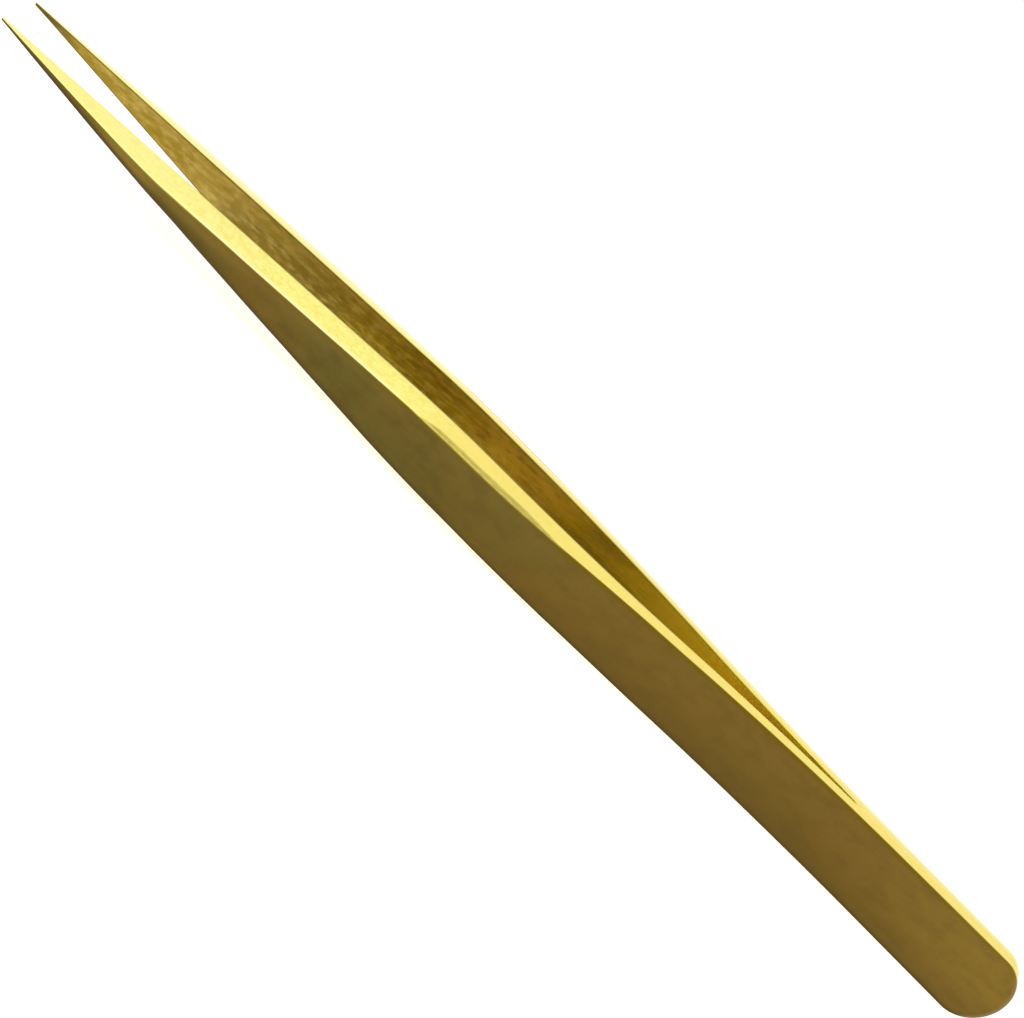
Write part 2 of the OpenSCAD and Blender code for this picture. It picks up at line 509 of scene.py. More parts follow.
def section(length, outer_length, thick, outer_edge_r, inner_edge_r):
    """Columns of [distance from the spine, height over the inner face], one entry for each rib."""
    flank = np.stack([length - outer_length, -thick])
    flank_length = np.hypot(*flank)
    outward = np.stack([np.ones_like(length), np.zeros_like(length)])
    outer_corner = np.stack([outer_length, thick])
    inner_corner = np.stack([length, np.zeros_like(length)])
    outer_r = np.minimum(outer_edge_r, SHORT_SIDE_SHARE * np.minimum(flank_length, outer_length))
    inner_r = np.minimum(inner_edge_r, SHORT_SIDE_SHARE * np.minimum(flank_length, length))
    down = flank / flank_length
    columns = [np.stack([d, thick]) for d in face_run(outer_length, outer_r)]
    columns += corner(outer_corner - outward * outer_r, outer_corner, outer_corner + down * outer_r)
    columns.append((outer_corner + inner_corner) / 2 + down * (outer_r - inner_r) / 2)
    columns += corner(inner_corner - down * inner_r, inner_corner, inner_corner - outward * inner_r)
    columns += [np.stack([d, np.zeros_like(d)]) for d in face_run(length, inner_r)[::-1]]
    return np.stack(columns, axis=-1)


FACE_POINTS = len(FACE_SHARES) + 1
print("points on one rib:", 2 * FACE_POINTS + 2 * (CORNER_STEPS + 1) + 1)

# %% [markdown]
# ## Building a closed plate
# The ribs and their columns make a grid that closes on itself, so the faces come from one rule.
# The two halves share the spine, and merging those points closes the plate. A few notes are kept on
# the mesh for the finish: where a point lies on the metal, how far it is from the rim and from the
# outer face's border, how far it is rubbed, and which way it faces. They stay with the metal when an
# arm bends, so that the grain never swims.

# %% Plate builder
MERGE_DISTANCE = 0.001 * MM


def grid_faces(ribs, columns):
    index = np.arange(ribs * columns).reshape(ribs, columns)
    after = np.roll(index, -1, axis=0)
    quads = [index[:, :-1], after[:, :-1], after[:, 1:], index[:, 1:]]
    return np.stack(quads, axis=-1).reshape(-1, 4).tolist()


def build_plate(name, points, notes, outward):
    """A closed mesh in metres from points [rib, column, xyz] in millimetres, with its notes."""
    mesh = bpy.data.meshes.new(name)
    mesh.from_pydata((points.reshape(-1, 3) * MM).tolist(), [], grid_faces(*points.shape[:2]))
    for note, values in notes.items():
        kind, field = ("FLOAT_VECTOR", "vector") if values.ndim == 3 else ("FLOAT", "value")
        mesh.attributes.new(note, kind, "POINT").data.foreach_set(field, values.ravel())
    shape = bmesh.new()
    shape.from_mesh(mesh)
    bmesh.ops.remove_doubles(shape, verts=shape.verts, dist=MERGE_DISTANCE)
    bmesh.ops.recalc_face_normals(shape, faces=shape.faces)
    shape.to_mesh(mesh)
    shape.free()
    mesh.shade_smooth()
    facing = [vertex.normal.dot(outward) for vertex in mesh.vertices]
    mesh.attributes.new("facing", "FLOAT", "POINT").data.foreach_set("value", facing)
    plate = bpy.data.objects.new(name, mesh)
    bpy.context.scene.collection.objects.link(plate)
    return plate


print("faces of a closed grid of 4 ribs and 3 columns:", len(grid_faces(4, 3)))

# %% [markdown]
# ## The two arms
# The far arm lies on the +Y side, and the near arm is its mirror image. Each arm is one mesh, because
# the real arm is one piece of brass without any joint. Its outer face is crowned by a few hundredths
# of a millimetre, as polished flats always are, so that the light changes softly across it, and one
# hundredth more is polished off, which keeps the arm inside the size of its solids.

# %% Arm shape
FACE_CROWN = 0.05
POLISHED_OFF = 0.01
BORDER_WANDER = 0.035


def outer_reach(length, side):
    """How far the outer face reaches on each rib: the leaning flank ends it before the inner face."""
    leaning = ease(rim_u, FLANK_FROM_TAIL, SHOULDER_U)
    steady = ease(rim_u, POINT_U, OVERALL_LEN)
    uneven = BORDER_WANDER * leaning * (1 - steady) * wander(rim_u, side + np.sign(rim_width))
    lean = thickness(rim_u) * np.tan(FLANK_ANGLE * leaning) + uneven
    return np.maximum(length - lean, OUTER_LEAST_SHARE * length)


def arm_points(side):
    """Points and notes of an arm: side is 1 for the far arm and -1 for the near arm."""
    length = np.hypot(rim_u - spine_u, rim_width)
    outer_length = outer_reach(length, side)
    thick = thickness(rim_u)
    edges = outer_edge_radius(rim_u), inner_edge_radius(rim_u)
    across, height = section(length, outer_length, thick, *edges)
    share = across / length[:, None]
    u = spine_u[:, None] + (rim_u - spine_u)[:, None] * share
    from_middle = rim_width[:, None] * share
    level = height / thick[:, None]
    crown = POLISHED_OFF + FACE_CROWN * ramp(thickness(u), TIP_T, BODY_T) * share**2
    out = inner_face(u) + level * (thickness(u) - crown)
    points = np.stack([OVERALL_LEN / 2 - u, side * out, middle_height(u) + from_middle], axis=-1)
    return points, {
        "place": np.stack([u, from_middle, level * thickness(u)], axis=-1),
        "from_rim": length[:, None] - across,
        "from_border": outer_length[:, None] - across,
        "lightened": level * (side > 0),
    }


def make_arm(name, side):
    points, notes = arm_points(side)
    return build_plate(name, points, notes, Vector((0, side, 0)))


near_arm = make_arm("near_brass_arm", -1)
far_arm = make_arm("far_brass_arm", 1)
print("vertices in an arm:", len(near_arm.data.vertices))

# %% [markdown]
# ## How the finishes are written
# An arm has three finishes, and each one is a base tone with soft marks over it. An even noise would
# look like camouflage, so every mark has its own place. Places are named groups of numbers. For a
# rise they are where it starts and ends, then its strength before and after. For within they are
# the four places of the stretch, then its strength. Places are in millimetres: u from the tail,
# across from the middle of the face, and distances from a border or from the rim.


# %% Tones along an arm
def tones_along(nodes, u, first, changes):
    """The base tone at u: each change brings in its own tone over its own stretch."""
    colour = first
    for tone, stretch in changes:
        colour = nodes.mix(colour, tone, u.rise(*stretch))
    return colour


print("the step runs from u", STEP_FROM_TAIL, "to", STEP_END_U, "and the point from", round(POINT_U))

# %% [markdown]
# ## Buffed band
# Over the step the grinding belt can't reach the corner, and a buffing wheel leaves a mottled ochre
# band on the flank there, with two pointed ends. The satin's own border line is fainter beside it,
# so where the band runs is written once and used by both finishes.

# %% Buffed band
BUFFED_TO_U = 86.5
BUFFED = (64, 73, 82, BUFFED_TO_U)
BUFFED_W = 0.205
BUFFED_SEEN = (0, 0.35)


def buffed_width(u):
    """1 where the band is widest, and 0 beyond its two pointed ends."""
    return u.within(*BUFFED)


def buffed_stretch(u):
    """1 wherever the band is wide enough to be seen."""
    return buffed_width(u).rise(*BUFFED_SEEN)


print("the buffed band runs from u", BUFFED[0], "to", BUFFED_TO_U)

# %% [markdown]
# ## Satin outer face
# The wide outer face is tumbled to a dark satin, and part of that darkness is a painted dark
# reflection. It is warmest at the tail, where fingers rub it, lighter towards its upper edge with
# painted light, darker towards its lower one with painted shade, and more olive over the step. Broad
# patches and finer clouds lie over it, both stronger in front, where it is handled more. Both are
# noise that is stretched along the arm, because the metal itself was rolled that way.

# %% Satin outer face
# The satin's dark tone is partly its own and partly a painted dark reflection.
SATIN_WARM = seen(119, 93, 38)
SATIN_OLIVE = seen(104, 93, 42)
SATIN_TAIL = seen(138, 110, 44)
SATIN_PAINTED_LIGHT = seen(136, 112, 54)
SATIN_CLOUD_AND_SHADE = seen(92, 74, 34)
SATIN_PATCHES = Pattern(0.07, 0.16, 3, detail=3)
PATCHES_SHOW, PATCHES_GROW = (0.4, 0.62), (56, 70, 0.12, 0.4)
SATIN_CLOUDS = Pattern(0.3, 0.6, 5, detail=5, roughness=0.6)
CLOUDS_SHOW, CLOUDS_GROW = (0.4, 0.7), (66, 90, 0.28, 0.5)
OLIVE_OVER_STEP = (STEP_FROM_TAIL + 10, STEP_END_U, STEP_END_U + 16, STEP_END_U + 30, 0.5)
TAIL_RUBBED = (2, 28, 0.8, 0)
LIGHT_ABOVE, LIGHT_GROWS = (-1, 4), (56, 80, 0.14, 0.28)
SHADE_BELOW, SHADE_FADES = (-4.5, 0.5, 1, 0), (58, 76, 0.42, 0)


def satin_face(nodes, u, across):
    patches = nodes.pattern(SATIN_PATCHES, u, across).rise(*PATCHES_SHOW) * u.rise(*PATCHES_GROW)
    colour = nodes.mix(SATIN_WARM, SATIN_OLIVE, patches + u.within(*OLIVE_OVER_STEP))
    colour = nodes.mix(colour, SATIN_TAIL, u.rise(*TAIL_RUBBED))
    # Painted light on the upper half, and painted shade on the lower half towards the tail.
    colour = nodes.mix(colour, SATIN_PAINTED_LIGHT, across.rise(*LIGHT_ABOVE) * u.rise(*LIGHT_GROWS))
    colour = nodes.mix(colour, SATIN_CLOUD_AND_SHADE, across.rise(*SHADE_BELOW) * u.rise(*SHADE_FADES))
    clouds = nodes.pattern(SATIN_CLOUDS, u, across).rise(*CLOUDS_SHOW) * u.rise(*CLOUDS_GROW)
    return nodes.mix(colour, SATIN_CLOUD_AND_SHADE, clouds)


print("satin patches are about, mm:", round(1 / SATIN_PATCHES.x), "by", round(1 / SATIN_PATCHES.y))

# %% [markdown]
# ## Needle
# The outer face of the ground point is darker, with an ochre upper half, where it turns to the
# light. The ochre bulges down where the point begins, and fades towards the tip. It could come from
# the light alone, but the crown of the face is too flat for that, so it is written as a tone.

# %% Needle
NEEDLE_DARK = seen(74, 68, 32)
NEEDLE_OCHRE = seen(143, 119, 53)
NEEDLE_STARTS = (104, 117, 0, 0.85)
NEEDLE_DARKENS = (126, 132, 1, 0.6)
OCHRE_ABOVE = (-1, 0.8)
BULGE, BULGE_DROP, BULGE_OCHRE = (117, 121, 123, 127), 0.5, (0.76, 1)


def with_needle(nodes, colour, u, across):
    # The ochre upper half is painted light, and the dark lower half is painted shade.
    bulge = u.within(*BULGE)
    ochre = (across + bulge * BULGE_DROP).rise(*OCHRE_ABOVE) * bulge.between(*BULGE_OCHRE)
    needle = nodes.mix(NEEDLE_DARK, NEEDLE_OCHRE, ochre * u.rise(*NEEDLE_DARKENS))
    return nodes.mix(colour, needle, u.rise(*NEEDLE_STARTS))


print("the needle's own tone comes in from u", NEEDLE_STARTS[0], "to", NEEDLE_STARTS[1])

# %% [markdown]
# ## Borders of the satin
# A dark line of painted shade follows the border: olive gold along the upper border, where it is
# thinner at the tail and in front, and greyer along the lower one, inside a soft painted shade. Both
# lines fade at the round end, which has a grey rim instead, and in front the satin is lighter beside
# the upper border with painted light. The lines could be painted on an image, but the distance from
# the border is a note on the mesh, so a rise of that distance follows it by itself.

# %% Borders of the satin
SHADE_LINE_OLIVE_GOLD = seen(116, 90, 6)
SHADE_LINE_GREY = seen(84, 70, 48)
RIM_GREY = seen(148, 128, 84)
UPPER_HALF = (-0.1, 0.1)
PAST_ROUND_END = (0.8, 3)
LIGHT_BAND, LIGHT_STRETCH = (0.2, 1.6, 0.4, 0), (84, 100, 110, 116)
SHADE_BAND = (0.1, 0.9, 0.6, 0)
GREY_BAND = (0.16, 0.44, 0.9, 0)
RIM_BAND = (0.05, 0.6, 0.8, 0)
GOLD_BAND, GOLD_BESIDE_BUFFED = (0.3, 0.75, 0.7, 0), (1, 0.5)
GOLD_FADES = ((6, 22, 0.45, 1), (82, 92, 1, 0.45), (112, 118, 1, 0.5))


def with_borders(nodes, colour, u, across, from_border):
    upper = across.rise(*UPPER_HALF)
    beside = u.rise(*PAST_ROUND_END)
    below = (1 - upper) * beside
    # Painted light beside the upper border in front, and painted shade along the lower border.
    light = from_border.rise(*LIGHT_BAND) * upper * u.within(*LIGHT_STRETCH)
    colour = nodes.mix(colour, SATIN_PAINTED_LIGHT, light)
    colour = nodes.mix(colour, SATIN_CLOUD_AND_SHADE, from_border.rise(*SHADE_BAND) * below)
    colour = nodes.mix(colour, SHADE_LINE_GREY, from_border.rise(*GREY_BAND) * below)
    colour = nodes.mix(colour, RIM_GREY, from_border.rise(*RIM_BAND) * (1 - beside))
    # A dark line of painted shade along the upper border, weaker where it fades.
    gold = from_border.rise(*GOLD_BAND) * upper * beside
    for lightened in GOLD_FADES:
        gold = gold * u.rise(*lightened)
    return nodes.mix(colour, SHADE_LINE_OLIVE_GOLD, gold * buffed_stretch(u).between(*GOLD_BESIDE_BUFFED))


def satin_colour(nodes, u, across, from_border):
    colour = with_needle(nodes, satin_face(nodes, u, across), u, across)
    return with_borders(nodes, colour, u, across, from_border)


print("the line along the upper border fades between, mm from it:", GOLD_BAND[:2])

# %% [markdown]
# ## Ground flanks
# The flanks are ground last, so they are the brightest surfaces: pale behind the step, lemon in front
# of it and paler again on the point. A fine swirl from the belt lies over them, weaker on the point,
# and a paler line runs beside the border. The far arm's flanks are made paler still by a painted
# highlight. Plain noise would look like dust here, so this pattern is distorted, which bends its
# spots into swirls.

# %% Ground flanks
GROUND_PALE = seen(250, 230, 128)
GROUND_LEMON = seen(250, 244, 142)
GROUND_POINT = seen(251, 243, 158)
GROUND_DEEP = seen(243, 224, 110)
GROUND_LINE = seen(253, 244, 176)
GROUND_HIGHLIGHT = seen(254, 245, 186)
GROUND_CHANGES = ((GROUND_LEMON, (78, 88)), (GROUND_POINT, (96, 118, 0, 0.8)))
BELT_SWIRL = Pattern(1.1, 1.6, 0.2, detail=3, roughness=0.55, swirl=1.5)
SWIRL_SHOWS, SWIRL_WEAKENS = (0.35, 0.75), (110, 122, 0.85, 0.3825)
PALE_BAND, PALE_STRETCH = (-0.17, -0.06, 0, 0.8), (BUFFED_TO_U, BUFFED_TO_U + 4, 110, 118)
FAR_HIGHLIGHT = (0.05, 0.9, 0, 0.9)


def belt_ground(nodes, u, across, height, from_border, lightened):
    colour = tones_along(nodes, u, GROUND_PALE, GROUND_CHANGES)
    swirl = nodes.pattern(BELT_SWIRL, u, height, across).rise(*SWIRL_SHOWS)
    colour = nodes.mix(colour, GROUND_DEEP, swirl * u.rise(*SWIRL_WEAKENS))
    colour = nodes.mix(colour, GROUND_LINE, from_border.rise(*PALE_BAND) * u.within(*PALE_STRETCH))
    # The far arm's flanks are made paler by a painted highlight.
    return nodes.mix(colour, GROUND_HIGHLIGHT, lightened.rise(*FAR_HIGHLIGHT))


print("the belt's swirl is about, mm:", round(1 / BELT_SWIRL.x, 1), "by", round(1 / BELT_SWIRL.y, 1))

# %% [markdown]
# ## Band and painted shade on the flanks
# The buffed band hangs from the border and is darker towards it. Its own mottle also makes its lower
# edge uneven, so that it never looks masked off. Along the inner edge, in front of the spring
# section, a thin dark line is painted shade from the gap between the arms.

# %% Band and edge shade
BUFFED_OCHRE = seen(208, 191, 96)
BUFFED_DARK = seen(178, 162, 76)
GROUND_EDGE_SHADE = seen(116, 98, 30)
BUFFED_MOTTLE, BUFFED_UNEVEN = Pattern(1.3, 3, 3, detail=3), 0.04
MOTTLE_DARKENS, BORDER_DARKENS = (0.35, 0.65, 0, 0.5), (-0.14, 0.02, 0, 0.5)
BUFFED_EDGE = (0, 0.09)
BUFFED_UNDER_HIGHLIGHT = (1, 0.5)
EDGE_SHADE_BAND, EDGE_SHADE_STRETCH = (0.12, 0.26, 0.7, 0), (44, 60, 112, 117)


def with_buffed_band(nodes, colour, u, across, height, from_border, lightened):
    mottle = nodes.pattern(BUFFED_MOTTLE, u, height, across)
    darker = mottle.rise(*MOTTLE_DARKENS) + from_border.rise(*BORDER_DARKENS)
    buffed = nodes.mix(BUFFED_OCHRE, BUFFED_DARK, darker)
    inside = from_border + buffed_width(u) * BUFFED_W + (mottle - 0.5) * BUFFED_UNEVEN
    # The band is weaker under the far arm's painted highlight.
    share = buffed_stretch(u) * inside.rise(*BUFFED_EDGE) * lightened.between(*BUFFED_UNDER_HIGHLIGHT)
    return nodes.mix(colour, buffed, share)


def ground_colour(nodes, u, across, height, from_border, lightened):
    place = (u, across, height, from_border, lightened)
    colour = with_buffed_band(nodes, belt_ground(nodes, *place), *place)
    # A thin dark line of painted shade along the inner edge.
    return nodes.mix(colour, GROUND_EDGE_SHADE, height.rise(*EDGE_SHADE_BAND) * u.within(*EDGE_SHADE_STRETCH))


print("the buffed band is at its widest, mm:", BUFFED_W)

# %% [markdown]
# ## Inner faces
# Light bounces several times between the inner faces, and each bounce deepens the colour. So the
# tones written here are much paler than those that are seen, most of all deep in the slot. From the
# braze forward they go through a heat-tinted gold to a deep brass, and to a duller one in front.

# %% Tones of the inner faces
INNER_SLOT = seen(255, 246, 176)
INNER_HOT = seen(255, 237, 88)
INNER_CROTCH = seen(255, 247, 98)
INNER_MID = seen(224, 194, 48)
INNER_DEEP = seen(173, 146, 30)
INNER_FRONT = seen(184, 159, 80)
INNER_CHANGES = (
    (INNER_HOT, (22, 34)),
    (INNER_CROTCH, (38, 50)),
    (INNER_MID, (32, 68)),
    (INNER_DEEP, (72, 88)),
    (INNER_FRONT, (92, 114)),
)
print("tones along the inner faces:", len(INNER_CHANGES) + 1)

# %% [markdown]
# ## Shade on the inner faces
# The lower part of an inner face stands close to the floor and to the other arm, so it is darker, and
# that is painted shade. It is also duller and darker lower down in front, which is painted shade too,
# with a paler spot of painted highlight behind the shoulder and a dark spot behind that. A paler edge
# of painted light runs along the upper rim. The mirrored light gives part of this shade by itself,
# but a white floor lights the faces too evenly, so the rest is written as tones.

# %% Shade on the inner faces
INNER_DARK = seen(150, 122, 34)
INNER_PALE = seen(222, 192, 108)
INNER_SHADOW = seen(96, 84, 4)
INNER_FRONT_SHADE = seen(90, 80, 50)
LOWER_FADES_AT_SHARES, LOWER_DARK = (0.1, 0.95), (92, 100, 0, 0.66)
LOWER_PALER, LOWER_IF_PALER = (109, 114, 117, 121), (1, 0.3)
FRONT_SHADE_DEPTH, FRONT_SHADE_STRETCH = (1, 2.4, 0, 0.5), (94, 101, 110, 117)
SHADOW_DEPTH, SHADOW_DEEPER_BY = (0.95, 1.65), 0.018
SHADOW_STRETCH, SHADOW_GROWS = (44, 58, 112, 118), (80, 92, 0.42, 0.7)
HIGHLIGHT_SPOT, HIGHLIGHT_SHADOW_LESS, HIGHLIGHT_PALE = (66, 71, 77, 83), 0.14, 0.28
RIM_DEPTH, RIM_STRETCH, RIM_GROWS = (0.4, 1.4, 1, 0), (60, 66, 102, 108), (90, 95, 0.14, 0.34)
SPOT_DEPTH, SPOT_STRETCH = (0.3, 1.2, 0, 0.3), (58, 63, 64, 68)


def with_lower_shade(nodes, colour, u, across):
    half_width = (OVERALL_LEN - u) * (TAPER_SLOPE / 2)
    lower = across.rise(*(half_width * share for share in LOWER_FADES_AT_SHARES), 1, 0)
    paler = u.within(*LOWER_PALER).between(*LOWER_IF_PALER)
    return nodes.mix(colour, INNER_DARK, lower * u.rise(*LOWER_DARK) * paler)


def below_upper_rim(across, from_rim):
    """Distance from the upper rim: past the middle, from_rim counts back, so it is added twice."""
    return from_rim + (-1 * across).at_least(0) * 2


def with_depth_shade(nodes, colour, u, depth):
    # Duller and darker lower down in front: painted shade.
    colour = nodes.mix(colour, INNER_FRONT_SHADE, depth.rise(*FRONT_SHADE_DEPTH) * u.within(*FRONT_SHADE_STRETCH))
    # A paler spot with less painted shadow: a painted highlight.
    spot = u.within(*HIGHLIGHT_SPOT)
    strength = u.rise(*SHADOW_GROWS) - spot * HIGHLIGHT_SHADOW_LESS
    shadow = (depth - u * SHADOW_DEEPER_BY).rise(*SHADOW_DEPTH) * u.within(*SHADOW_STRETCH)
    colour = nodes.mix(colour, INNER_SHADOW, shadow * strength)
    # A paler edge of painted light along the upper rim.
    near_rim = depth.rise(*RIM_DEPTH) * u.within(*RIM_STRETCH) * u.rise(*RIM_GROWS)
    colour = nodes.mix(colour, INNER_PALE, spot * HIGHLIGHT_PALE + near_rim)
    return nodes.mix(colour, INNER_DARK, u.within(*SPOT_STRETCH) * depth.rise(*SPOT_DEPTH))


print("the rubbed spot lies between u", HIGHLIGHT_SPOT[0], "and", HIGHLIGHT_SPOT[-1])

# %% [markdown]
# ## Brush strokes and flecks
# The inner faces are brushed by hand, which leaves long, slanting streaks. They are warmest and
# strongest over the step, where the brush turns. Clouds and blotches of tarnish lie among them, and
# near the crotch, where the braze was hot, there are orange flecks. A streak is a spot of noise that
# is long and narrow, and it slants because a share of u is added to its place across the face.

# %% Brush strokes and flecks
INNER_WARM = seen(211, 187, 60)
INNER_FLECK = seen(244, 184, 50)
OVER_STEP = (64, 76, 92, 102)
TARNISH = Pattern(0.14, 0.5, 11, detail=3)
TARNISH_SHOWS, TARNISH_GROWS = (0.35, 0.65, 0, 0.5), (44, 66)
STREAKS, STREAK_SLANT = Pattern(0.45, 2.4, 0, detail=4, roughness=0.62), 1 / 8
STREAK_RIDGES, RIDGES_OVER_STEP = (0.46, 0.7), (0.34, 0.9)
STREAK_HOLLOWS, HOLLOWS_OVER_STEP, HOLLOWS_GROW = (0.3, 0.5, 1, 0), (0.3, 0.75), (40, 60)
BLOTCHES = Pattern(0.75, 1.5, 13, detail=2)
PALE_BLOTCHES, DARK_BLOTCHES = (0.44, 0.72), (0.28, 0.5, 1, 0)
BLOTCHES_GROW, BLOTCHES_OVER_STEP = (84, 104, 0, 0.3), 0.3
FLECKS, FLECKS_SHOW = Pattern(1.2, 3, 7, detail=2), (0.46, 0.7)
FLECKS_NEAR_CROTCH, FLECKS_OVER_STEP = (33, 40, 44, 62, 0.5), 0.12


def with_streaks(nodes, colour, u, across, over_step):
    tarnish = nodes.pattern(TARNISH, u, across).rise(*TARNISH_SHOWS)
    colour = nodes.mix(colour, INNER_DARK, tarnish * u.rise(*TARNISH_GROWS))
    streaks = nodes.pattern(STREAKS, u, across + u * STREAK_SLANT)
    ridges = streaks.rise(*STREAK_RIDGES) * over_step.between(*RIDGES_OVER_STEP)
    colour = nodes.mix(colour, nodes.mix(INNER_PALE, INNER_WARM, over_step), ridges)
    hollows = streaks.rise(*STREAK_HOLLOWS) * over_step.between(*HOLLOWS_OVER_STEP)
    return nodes.mix(colour, INNER_DARK, hollows * u.rise(*HOLLOWS_GROW))


def with_blotches(nodes, colour, u, across, over_step):
    blotches = nodes.pattern(BLOTCHES, u, across)
    strength = u.rise(*BLOTCHES_GROW) + over_step * BLOTCHES_OVER_STEP
    colour = nodes.mix(colour, INNER_PALE, blotches.rise(*PALE_BLOTCHES) * strength)
    colour = nodes.mix(colour, INNER_DARK, blotches.rise(*DARK_BLOTCHES) * strength)
    flecks = nodes.pattern(FLECKS, u, across).rise(*FLECKS_SHOW)
    strength = u.within(*FLECKS_NEAR_CROTCH) + over_step * FLECKS_OVER_STEP
    return nodes.mix(colour, INNER_FLECK, flecks * strength)


print("brush strokes slant by 1 in", round(1 / STREAK_SLANT))

# %% [markdown]
# ## Putting the inner finish together
# The marks lie over each other in the order in which they came about: tones and shade first, then the
# brush. Two last marks close the finish: the very tip, which is darkened by use, and a thin dark line
# of painted shade along the inner rim.

# %% Inner finish
INNER_TIP = seen(66, 66, 42)
INNER_SHADE_LINE = seen(120, 100, 24)
TIP_DARKENS = (133, 138.5, 0, 0.85)
INNER_SHADE_LINE_BAND, INNER_SHADE_LINE_STARTS = (0.1, 0.24, 0.7, 0), (32, 52)


def brushed_colour(nodes, u, across, from_rim):
    over_step = u.within(*OVER_STEP)
    colour = tones_along(nodes, u, INNER_SLOT, INNER_CHANGES)
    colour = with_lower_shade(nodes, colour, u, across)
    colour = with_depth_shade(nodes, colour, u, below_upper_rim(across, from_rim))
    colour = with_streaks(nodes, colour, u, across, over_step)
    colour = with_blotches(nodes, colour, u, across, over_step)
    colour = nodes.mix(colour, INNER_TIP, u.rise(*TIP_DARKENS))
    # A thin dark line of painted shade along the inner rim.
    return nodes.mix(colour, INNER_SHADE_LINE, from_rim.rise(*INNER_SHADE_LINE_BAND) * u.rise(*INNER_SHADE_LINE_STARTS))


print("the tip darkens over the last, mm:", round(OVERALL_LEN - TIP_DARKENS[0], 1))

# %% [markdown]
# ## Where the satin ends
# The three finishes meet on one piece of metal, so one material holds them and tells them apart by
# the way that each point faces. They blend over the rounded edges as the real ones do. The upper
# border blends widely, and a little wider still on the point, but the buffed band starts sharply.
# The lower border turns away from the light sooner, so the satin reaches further round it.

# %% Where the satin ends
UPPER_FACING = (0.4, 0.97)
POINT_FACING = (0.4, 0.99)
BUFFED_FACING = (0.75, 1)
LOWER_FACING = (0.3, 0.45)
LOWER_TO_UPPER = (-0.05, 0.05)
ON_POINT = (POINT_SOFT[0], POINT_SOFT[0] + 8, POINT_SOFT[1] - 10, POINT_SOFT[1])


def satin_share(u, across, facing):
    """1 on the satin and 0 on the ground metal, from how squarely a point faces outward."""
    plain = facing.rise(*UPPER_FACING)
    on_point = (facing.rise(*POINT_FACING) - plain) * u.within(*ON_POINT)
    on_band = (facing.rise(*BUFFED_FACING) - plain) * buffed_stretch(u)
    upper = plain + on_point + on_band
    return across.rise(*LOWER_TO_UPPER).between(facing.rise(*LOWER_FACING), upper)


print("on the point the satin's border is softest between u", ON_POINT[1], "and", ON_POINT[2])

# %% [markdown]
# ## One brass for a whole arm
# The finishes also differ in gloss and relief. The satin is a little rougher than the ground metal,
# the belt leaves ripples on the flanks, and the brush leaves strokes inside. All of it is a few
# thousandths of a millimetre deep, so it is a bump in the shader and not in the mesh.

# %% Brass finish
INNER_FACING = (0.12, 0.4)
GRAIN = Pattern(9, 9, 9, detail=2)
RIPPLE = Pattern(2.4, 1.1, 0.2, detail=3)
STROKE, STROKE_SLANT = Pattern(0.5, 9, 1, detail=3), 1 / 15
BRASS_ROUGHNESS = 0.34
SATIN_ROUGHER, RIPPLE_ROUGHER, GRAIN_ROUGHER = 0.08, 0.12, 0.04
GRAIN_RELIEF, RIPPLE_RELIEF, STROKE_RELIEF = 0.3, 0.6, 0.6
RELIEF_DEPTH = 0.008 * MM


def make_brass():
    material, nodes = new_material("arm_brass_finish")
    u, across, height = nodes.split(nodes.attribute("place", "Vector"))
    names = ("facing", "from_rim", "from_border", "lightened")
    facing, from_rim, from_border, lightened = [nodes.attribute(name, "Fac") for name in names]
    satin = satin_share(u, across, facing)
    brushed = (-1 * facing).rise(*INNER_FACING)
    colour = ground_colour(nodes, u, across, height, from_border, lightened)
    colour = nodes.mix(colour, satin_colour(nodes, u, across, from_border), satin)
    colour = nodes.mix(colour, brushed_colour(nodes, u, across, from_rim), brushed)
    grain = nodes.pattern(GRAIN, u, across, height)
    ripple = nodes.pattern(RIPPLE, u, height, across)
    stroke = nodes.pattern(STROKE, u, across + u * STROKE_SLANT, height)
    rougher = ripple * RIPPLE_ROUGHER + satin * SATIN_ROUGHER + grain * GRAIN_ROUGHER
    rippled = ripple * (1 - satin) * (1 - brushed)
    relief = grain * GRAIN_RELIEF + rippled * RIPPLE_RELIEF + stroke * brushed * STROKE_RELIEF
    inputs = {"Base Color": colour, "Metallic": 1, "Roughness": BRASS_ROUGHNESS + rougher}
    inputs["Normal"] = nodes.bump(relief, RELIEF_DEPTH)
    nodes.surface(inputs)
    return material


brass = make_brass()
print("nodes in the brass finish:", len(brass.node_tree.nodes))

# %% [markdown]
# ## The braze
# A thin film of filler metal joins the two tails. Its rim is ground flush with the flanks, so from
# outside it is only a fine seam. It could stay the plain solid of the frame, but braze never ends in
# a straight edge: its rim is drawn in a little between the faces, and it wanders. Melted filler is
# also drawn into a narrow gap, so it creeps on into the crotch and fills it where the arms part.

# %% Braze
BRAZE_RIM_INSET = 0.02
BRAZE_RIM_DIP = 0.02
BRAZE_WANDER, BRAZE_WANDER_PACE = 0.01, 3
BRAZE_FRONT_ROUND = 1.0
BRAZE_CREEP = 9
BRAZE_LEVELS = (1, 0.7, 0, -0.7, -1)


def braze_half_width(u):
    return blank_half_width(u + BRAZE_RIM_INSET) - BRAZE_RIM_INSET


def braze_columns(reach, rim):
    """Pairs of distance from the spine and level: 1 at one arm's face and -1 at the other's."""
    columns = [(reach * share, 1) for share in FACE_SHARES]
    for level in BRAZE_LEVELS:
        dip = BRAZE_RIM_DIP * (1 - level**2) + BRAZE_WANDER
        columns.append((reach - dip + BRAZE_WANDER * wander(BRAZE_WANDER_PACE * rim, level), level))
    return columns + [(reach * share, -1) for share in FACE_SHARES[::-1]]


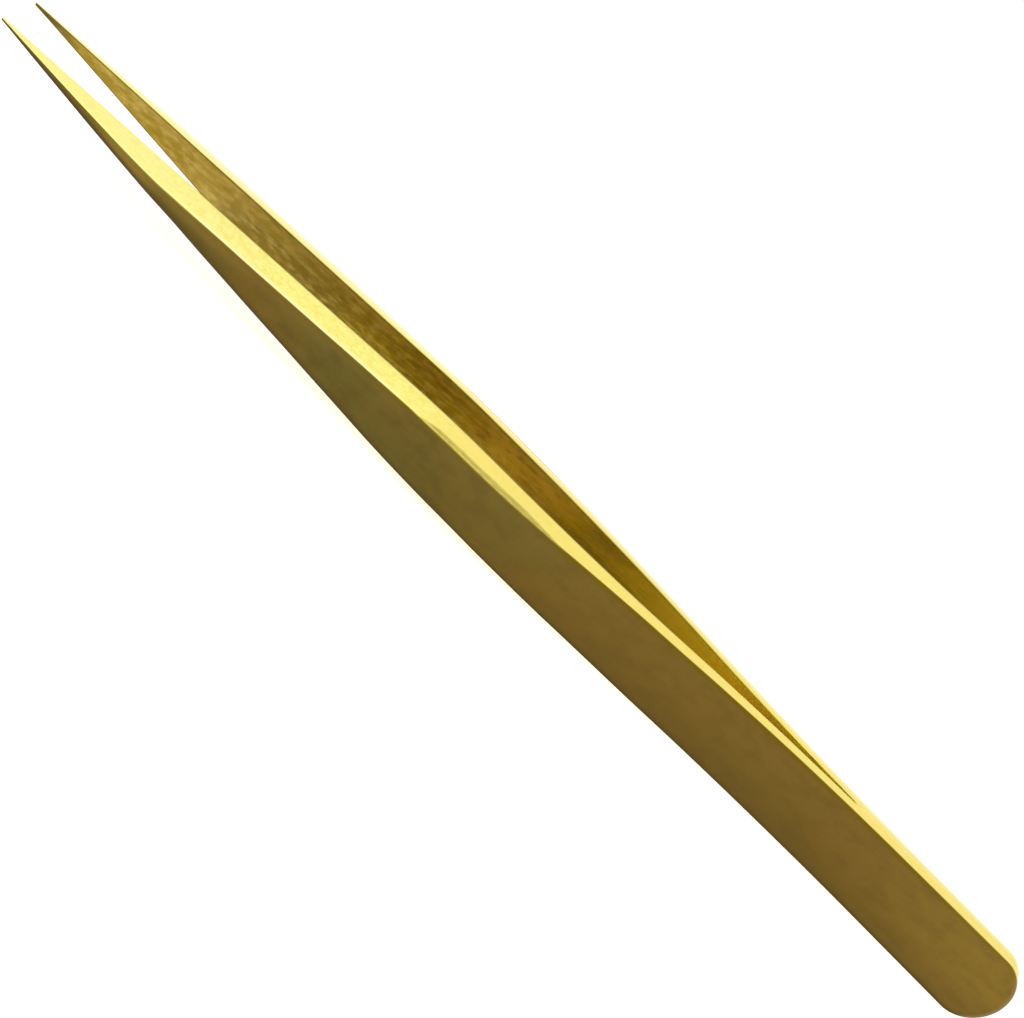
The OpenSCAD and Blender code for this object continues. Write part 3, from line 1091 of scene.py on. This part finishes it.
def braze_points():
    length = JOINED_LEN + BRAZE_CREEP - BRAZE_RIM_INSET
    rounds = TAIL_ROUND - BRAZE_RIM_INSET, BRAZE_FRONT_ROUND
    spine, rim, width = whole_outline(length, *rounds, braze_half_width)
    reach = np.hypot(rim - spine, width)
    columns = braze_columns(reach, rim)
    share = np.stack([distance for distance, _ in columns], axis=-1) / reach[:, None]
    level = np.array([level for _, level in columns])
    u = BRAZE_RIM_INSET + spine[:, None] + (rim - spine)[:, None] * share
    from_middle = width[:, None] * share
    out = level * inner_face(u)
    points = np.stack([OVERALL_LEN / 2 - u, out, middle_height(u) + from_middle], axis=-1)
    return points, {"place": np.stack([u, from_middle, out], axis=-1)}


points, notes = braze_points()
braze = build_plate("braze_seam", points, notes, Vector((0, 1, 0)))
print("vertices in the braze:", len(braze.data.vertices))

# %% [markdown]
# ## Braze metal
# The filler is a paler, silvery yellow metal that froze in fine beads. It is a metal of its own, and
# a little rougher than the brass, so it has its own small finish.

# %% Braze metal
BRAZE_COLOUR = seen(252, 236, 140)
BRAZE_DARK = seen(240, 216, 112)
BEADS, BEADS_DARKEN, BEADS_ROUGHNESS = Pattern(2, 2, 4, detail=3), (0.4, 0.65), (0.45, 0.65)
BEADS_DEPTH = 0.02 * MM


def make_braze_metal():
    material, nodes = new_material("braze_metal")
    beads = nodes.pattern(BEADS, *nodes.split(nodes.attribute("place", "Vector")))
    colour = nodes.mix(BRAZE_COLOUR, BRAZE_DARK, beads.rise(*BEADS_DARKEN))
    inputs = {"Base Color": colour, "Metallic": 1, "Roughness": beads.between(*BEADS_ROUGHNESS)}
    inputs["Normal"] = nodes.bump(beads, BEADS_DEPTH)
    nodes.surface(inputs)
    return material


braze.data.materials.append(make_braze_metal())
print("beads of the braze are about, mm:", 1 / BEADS.x, "long")

# %% [markdown]
# ## Riding on the frame
# The braze rides on the tail. An arm has no hinge: its thin stretch bends, while the frame's hinge
# stands in for that bend. Each arm takes the brass finish and its place is baked into its mesh, and
# the frame's solids for its tail, spring and jaw are hidden.


ARMS = ((near_arm, "near"), (far_arm, "far"))
for arm, side in ARMS:
    arm.data.materials.append(brass)
    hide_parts(f"{side}_tail", f"{side}_spring", f"{side}_jaw")
    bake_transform(arm)

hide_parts("braze_film")
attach(braze, "tail")
print("arms bend between, mm from the tail:", JOINED_LEN, "and", STEP_FROM_TAIL)

# %% [markdown] ## Size The box of the CAD model is printed when the frame is loaded.
